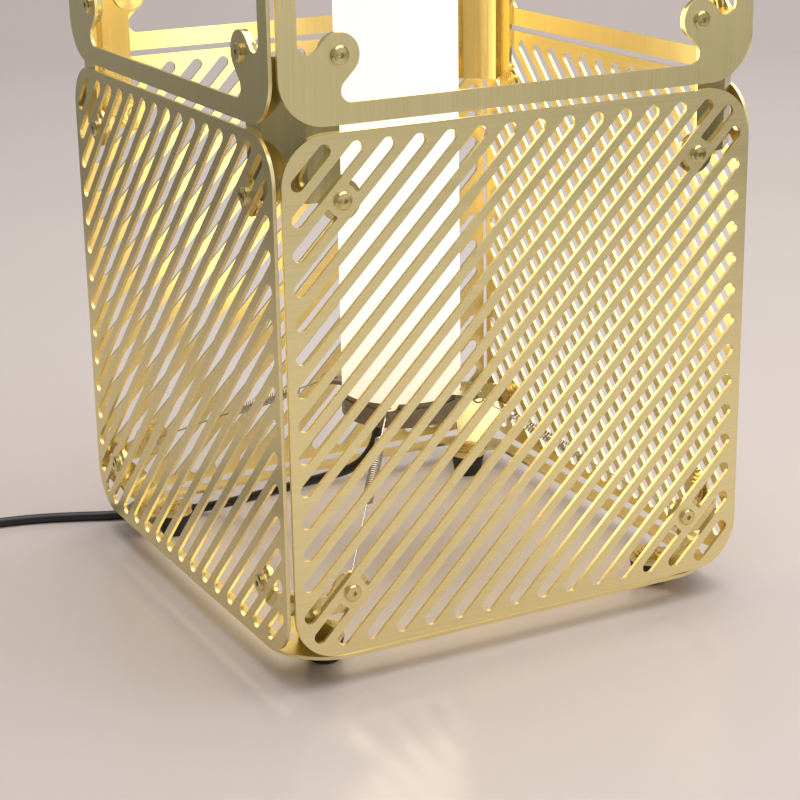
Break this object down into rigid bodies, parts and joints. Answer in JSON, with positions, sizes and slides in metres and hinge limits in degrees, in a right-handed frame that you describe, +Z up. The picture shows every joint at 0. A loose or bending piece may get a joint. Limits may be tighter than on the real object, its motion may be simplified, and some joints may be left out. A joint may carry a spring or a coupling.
{
  "type": "table lamp",
  "caption": "Lantern table lamp: square slotted brass lower box, open-frame upper box, opal light tube hung on sprung wire stays, rubber feet and a coiled mains cord.",
  "frame": {"origin": "on the surface that the lamp stands on, under the middle of its body", "axes": "+Z up, -Y towards the front panel, +X to the right seen from the front"},
  "size_m": [0.4836, 0.3341, 0.6019],
  "materials": {
    "brushed_brass": "satin, fine grain",
    "bracket_brass": "satin",
    "screw_brass": "turned, satin",
    "nut_brass": "turned, satin",
    "cap_metal": "dark bronze, satin",
    "opal_tube": "opal, lit from inside",
    "stay_steel": "drawn steel",
    "core_aluminium": "extruded",
    "light_strip": "white board with light emitters",
    "terminal_plastic": "moulded",
    "foot_rubber": "matte",
    "cord_jacket": "smooth, semi-gloss",
    "relief_rubber": "matte",
    "tie_plastic": "moulded",
    "plug_plastic": "moulded",
    "pin_metal": "polished"
  },
  "bodies": {
    "root": {"base_frame": "brushed_brass", "bottom_bracket_back_left": "bracket_brass", "bottom_bracket_back_right": "bracket_brass", "bottom_bracket_front_left": "bracket_brass", "bottom_bracket_front_right": "bracket_brass", "cord_coil": "cord_jacket", "cord_strain_relief": "relief_rubber", "cord_stretch": "cord_jacket", "cord_tail": "cord_jacket", "cord_tie": "tie_plastic", "diffuser_tube": "opal_tube", "foot_back_left": "foot_rubber", "foot_back_right": "foot_rubber", "foot_front_left": "foot_rubber", "foot_front_right": "foot_rubber", "foot_nuts": "nut_brass", "foot_screws": "screw_brass", "frame_nuts": "nut_brass", "frame_screws": "screw_brass", "lid_nuts": "nut_brass", "lid_screws": "screw_brass", "light_core": "core_aluminium", "light_strips": "light_strip", "lower_cap": "cap_metal", "lower_lug_ring": "cap_metal", "middle_bracket_back_left": "bracket_brass", "middle_bracket_back_right": "bracket_brass", "middle_bracket_front_left": "bracket_brass", "middle_bracket_front_right": "bracket_brass", "open_frame_back": "brushed_brass", "open_frame_front": "brushed_brass", "open_frame_left": "brushed_brass", "open_frame_right": "brushed_brass", "panel_nuts": "nut_brass", "panel_screws": "screw_brass", "plug_body": "plug_plastic", "plug_pins": "pin_metal", "slotted_panel_back": "brushed_brass", "slotted_panel_front": "brushed_brass", "slotted_panel_left": "brushed_brass", "slotted_panel_right": "brushed_brass", "stay_anchors": "stay_steel", "stay_links": "stay_steel", "stay_spring_back_left": "stay_steel", "stay_spring_back_right": "stay_steel", "stay_spring_front_left": "stay_steel", "stay_spring_front_right": "stay_steel", "stay_wires": "stay_steel", "terminal_block": "terminal_plastic", "top_bracket_back_left": "bracket_brass", "top_bracket_back_right": "bracket_brass", "top_bracket_front_left": "bracket_brass", "top_bracket_front_right": "bracket_brass", "top_frame": "brushed_brass", "upper_cap": "cap_metal", "upper_lug_ring": "cap_metal", "upper_stays": "stay_steel"}
  },
  "joints": []
}
